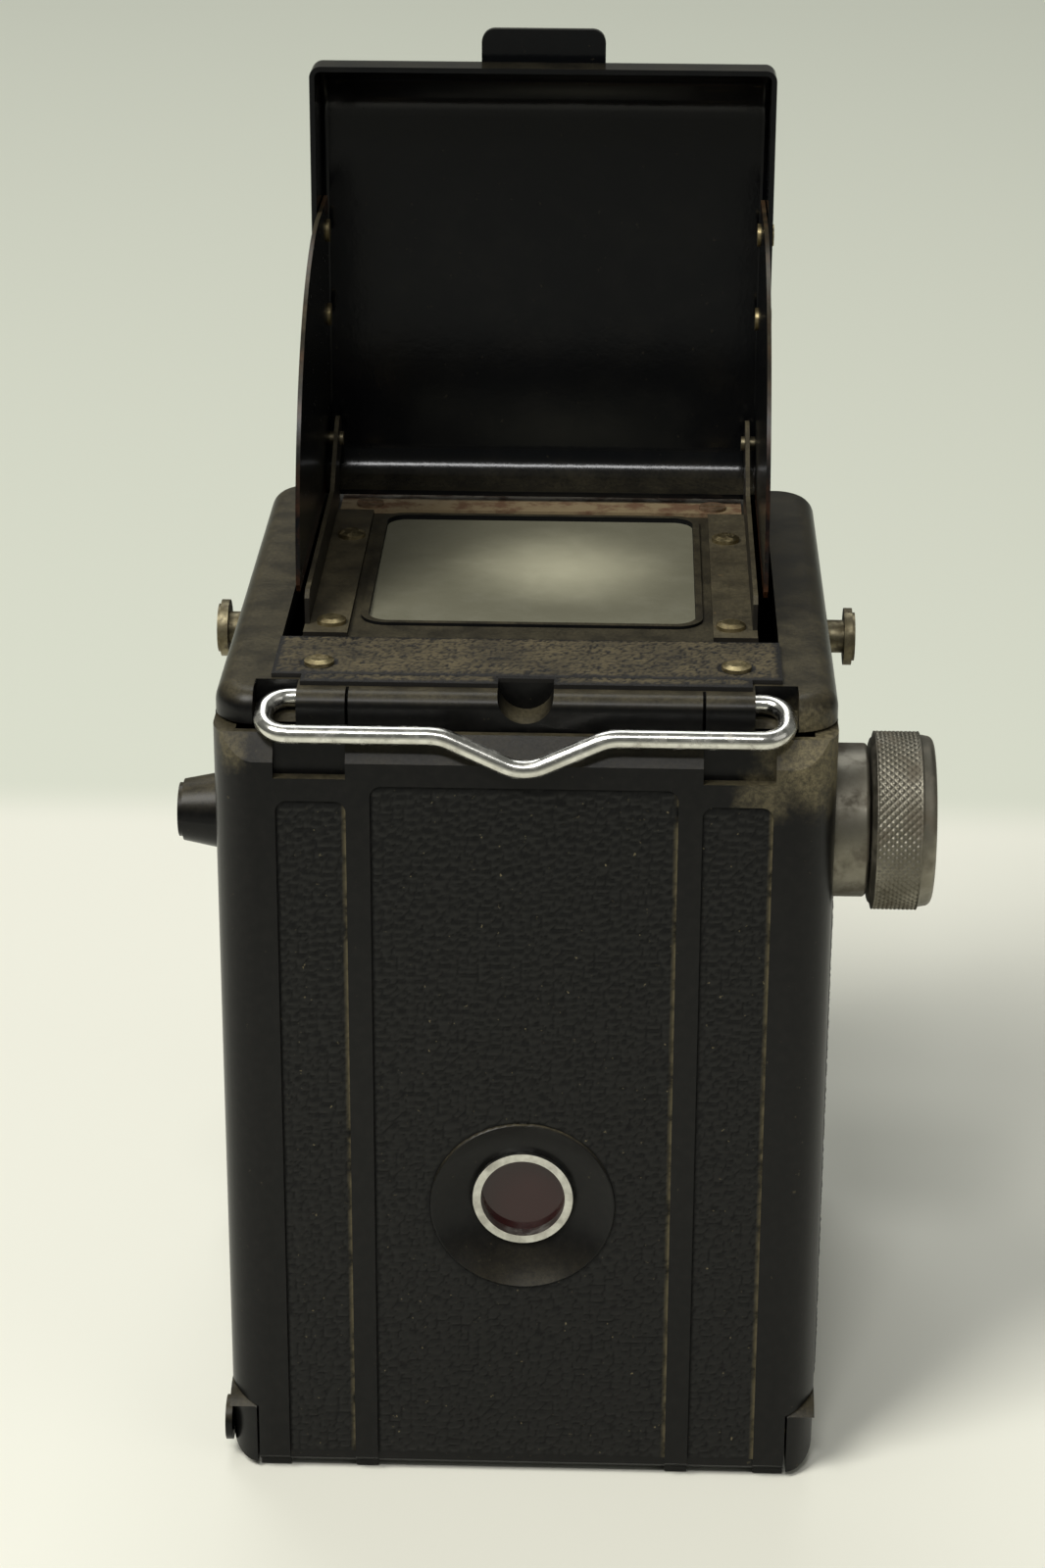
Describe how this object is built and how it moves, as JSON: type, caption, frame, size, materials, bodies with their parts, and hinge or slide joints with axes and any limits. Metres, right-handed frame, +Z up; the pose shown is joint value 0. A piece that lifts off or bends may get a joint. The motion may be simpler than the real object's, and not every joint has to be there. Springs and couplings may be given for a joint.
{
  "type": "twin lens reflex camera",
  "caption": "Box-shaped twin lens reflex roll film camera with a tray-shaped finder hood, film door with a red window and wire latch, winding knob and geared focusing rings.",
  "frame": {"origin": "centre of the tripod socket's mouth, in the plane of the foot ribs", "axes": "+Z up, the lenses face -Y, the film door faces +Y, the winding knob is on the -X side"},
  "size_m": [0.0968, 0.1091, 0.1788],
  "materials": {
    "bakelite": "moulded black phenolic, glossy ribs, pebble-grained panels, dusty",
    "knob_plastic": "black turned plastic",
    "spring_steel": "bare spring steel",
    "plain_steel": "plain turned steel",
    "bright_ring": "bright nickel ring, a little dull",
    "ruby_glass": "dark red window",
    "black_sheet": "black painted sheet, satin",
    "bright_wire": "nickel plated, worn, specks of rust",
    "inner_paint": "matt black inside paint",
    "spool_paint": "black lacquered spool",
    "knurled_alloy": "grey knurled alloy, oxidised",
    "finder_silvering": "front-silvered glass, slightly clouded",
    "screen_glass": "ground glass, frosted",
    "crinkle_paint": "wrinkled black enamel, dusty",
    "cream_card": "cream painted strip, stained",
    "rusty_steel": "rusted slotted screw",
    "dull_brass": "dull brass rivet",
    "bracket_paint": "black painted bracket, rubbed edges",
    "hood_enamel": "glossy black enamel on sheet steel, rust on its edges",
    "plain_brass": "turned brass",
    "face_plate": "black enamelled face plate with a bright edge",
    "shutter_paint": "black satin enamel",
    "lens_alloy": "turned alloy ring",
    "dial_alloy": "satin dial plate",
    "bright_lever": "bright plated lever",
    "blade_steel": "blued steel leaf",
    "lens_glass": "clear optical glass"
  },
  "bodies": {
    "body": {"body_shell": "bakelite", "cable_release_socket": "plain_brass", "door_hinge_pin": "plain_steel", "film_chamber": "inner_paint", "finder_box": "inner_paint", "finder_glass": "screen_glass", "finder_mirror": "finder_silvering", "finder_plate": "black_sheet", "front_plate": "face_plate", "front_plate_screws": "plain_steel", "front_strip": "cream_card", "front_strip_screws": "rusty_steel", "hood_bracket_left": "bracket_paint", "hood_bracket_right": "bracket_paint", "hood_pivot_pins": "plain_steel", "knob_collar": "knurled_alloy", "knob_springs": "spring_steel", "rear_lens_cell": "plain_brass", "rear_lens_glass": "lens_glass", "rear_strip": "crinkle_paint", "roof_rivets": "dull_brass", "screen_frame": "black_sheet", "shutter_cover": "dial_alloy", "shutter_housing": "shutter_paint", "strap_studs": "plain_steel", "supply_pivot": "plain_steel", "tripod_socket": "plain_brass", "viewing_lens_mount": "shutter_paint"},
    "hood": {"hood_lid": "hood_enamel", "hood_wing_left": "hood_enamel", "hood_wing_right": "hood_enamel", "wing_rivets": "dull_brass"},
    "door": {"back_door": "bakelite", "window_ring": "bright_ring", "window_glass": "ruby_glass", "pressure_springs": "spring_steel"},
    "pressure_plate": {"pressure_plate": "black_sheet"},
    "bail": {"bail": "bright_wire"},
    "winding": {"wind_knob": "knurled_alloy", "wind_shaft": "plain_steel", "take_up_spool": "spool_paint"},
    "knob_upper": {"spool_knob_upper": "knob_plastic"},
    "knob_lower": {"spool_knob_lower": "knob_plastic"},
    "roller_lower": {"film_roller_lower": "bright_wire"},
    "roller_upper": {"film_roller_upper": "bright_wire"},
    "taking_focus": {"focus_ring": "lens_alloy", "front_lens_glass": "lens_glass"},
    "viewing_focus": {"viewing_focus_ring": "lens_alloy", "viewing_lens_glass": "lens_glass"},
    "aperture": {"aperture_lever": "bright_lever"},
    "release": {"release_lever": "bright_lever"},
    "cocking": {"cocking_lever": "bright_lever"},
    "speed": {"speed_lever": "bright_lever"},
    "iris_1": {"iris_blade_1": "blade_steel"},
    "iris_2": {"iris_blade_2": "blade_steel"},
    "iris_3": {"iris_blade_3": "blade_steel"},
    "iris_4": {"iris_blade_4": "blade_steel"},
    "shutter_1": {"shutter_blade_1": "blade_steel"},
    "shutter_2": {"shutter_blade_2": "blade_steel"},
    "shutter_3": {"shutter_blade_3": "blade_steel"}
  },
  "joints": [
    {"name": "hood_hinge", "type": "hinge", "parent": "body", "child": "hood", "pos_m": [0, -0.035, 0.12], "axis": [-1, 0, 0], "range_deg": [0, 90]},
    {"name": "door_hinge", "type": "hinge", "parent": "body", "child": "door", "pos_m": [0, 0.04, 0.005], "axis": [-1, 0, 0], "range_deg": [0, 90]},
    {"name": "bail_pivot", "type": "hinge", "parent": "body", "child": "bail", "pos_m": [0, 0.038, 0.1087], "axis": [1, 0, 0], "range_deg": [0, 110]},
    {"name": "wind_turn", "type": "hinge", "parent": "body", "child": "winding", "pos_m": [0, 0.029, 0.0895], "axis": [1, 0, 0], "continuous": true},
    {"name": "upper_knob_pull", "type": "slide", "parent": "body", "child": "knob_upper", "axis": [1, 0, 0], "range_m": [0, 0.0021], "stiffness_N_per_m": 400, "deforming": ["knob_springs"]},
    {"name": "lower_knob_pull", "type": "slide", "parent": "body", "child": "knob_lower", "axis": [1, 0, 0], "range_m": [0, 0.0021], "stiffness_N_per_m": 400},
    {"name": "roller_lower_turn", "type": "hinge", "parent": "body", "child": "roller_lower", "pos_m": [0, 0.035, 0.0115], "axis": [1, 0, 0], "continuous": true},
    {"name": "roller_upper_turn", "type": "hinge", "parent": "body", "child": "roller_upper", "pos_m": [0, 0.0355, 0.0758], "axis": [1, 0, 0], "continuous": true},
    {"name": "pressure_plate_float", "type": "slide", "parent": "door", "child": "pressure_plate", "axis": [0, 1, 0], "range_m": [0, 0.0007], "stiffness_N_per_m": 600, "deforming": ["pressure_springs"]},
    {"name": "taking_focus_turn", "type": "hinge", "parent": "body", "child": "taking_focus", "pos_m": [0, -0.057, 0.044], "axis": [0, -1, 0], "range_deg": [0, 270]},
    {"name": "viewing_focus_turn", "type": "hinge", "parent": "body", "child": "viewing_focus", "pos_m": [0, -0.057, 0.088], "axis": [0, -1, 0], "range_deg": [-270, 0]},
    {"name": "aperture_turn", "type": "hinge", "parent": "body", "child": "aperture", "pos_m": [0, -0.0478, 0.044], "axis": [0, -1, 0], "range_deg": [0, 40]},
    {"name": "iris_1_swing", "type": "hinge", "parent": "body", "child": "iris_1", "pos_m": [0.014, -0.0485, 0.044], "axis": [0, -1, 0], "range_deg": [0, 18]},
    {"name": "iris_2_swing", "type": "hinge", "parent": "body", "child": "iris_2", "pos_m": [0, -0.04878, 0.058], "axis": [0, -1, 0], "range_deg": [0, 18]},
    {"name": "iris_3_swing", "type": "hinge", "parent": "body", "child": "iris_3", "pos_m": [-0.014, -0.04906, 0.044], "axis": [0, -1, 0], "range_deg": [0, 18]},
    {"name": "iris_4_swing", "type": "hinge", "parent": "body", "child": "iris_4", "pos_m": [0, -0.04934, 0.03], "axis": [0, -1, 0], "range_deg": [0, 18]},
    {"name": "release_press", "type": "hinge", "parent": "body", "child": "release", "pos_m": [0, -0.0514, 0.044], "axis": [0, -1, 0], "range_deg": [-18, 0], "stiffness_Nm_per_rad": 0.01},
    {"name": "shutter_1_swing", "type": "hinge", "parent": "body", "child": "shutter_1", "pos_m": [-0.01359, -0.0502, 0.0464], "axis": [0, -1, 0], "range_deg": [0, 36]},
    {"name": "shutter_2_swing", "type": "hinge", "parent": "body", "child": "shutter_2", "pos_m": [0.00472, -0.05048, 0.03103], "axis": [0, -1, 0], "range_deg": [0, 36]},
    {"name": "shutter_3_swing", "type": "hinge", "parent": "body", "child": "shutter_3", "pos_m": [0.00887, -0.05076, 0.05457], "axis": [0, -1, 0], "range_deg": [0, 36]},
    {"name": "cocking_press", "type": "hinge", "parent": "body", "child": "cocking", "pos_m": [0, -0.0525, 0.044], "axis": [0, -1, 0], "range_deg": [-38, 0], "stiffness_Nm_per_rad": 0.01},
    {"name": "speed_turn", "type": "hinge", "parent": "body", "child": "speed", "pos_m": [0, -0.0535, 0.044], "axis": [0, -1, 0], "range_deg": [0, 40]}
  ],
  "couplings": [
    {"joint": "viewing_focus_turn", "follows": "taking_focus_turn", "ratio": -1},
    {"joint": "iris_1_swing", "follows": "aperture_turn", "ratio": 0.44},
    {"joint": "iris_2_swing", "follows": "aperture_turn", "ratio": 0.44},
    {"joint": "iris_3_swing", "follows": "aperture_turn", "ratio": 0.44},
    {"joint": "iris_4_swing", "follows": "aperture_turn", "ratio": 0.44},
    {"joint": "shutter_1_swing", "follows": "release_press", "ratio": -2},
    {"joint": "shutter_2_swing", "follows": "release_press", "ratio": -2},
    {"joint": "shutter_3_swing", "follows": "release_press", "ratio": -2}
  ]
}
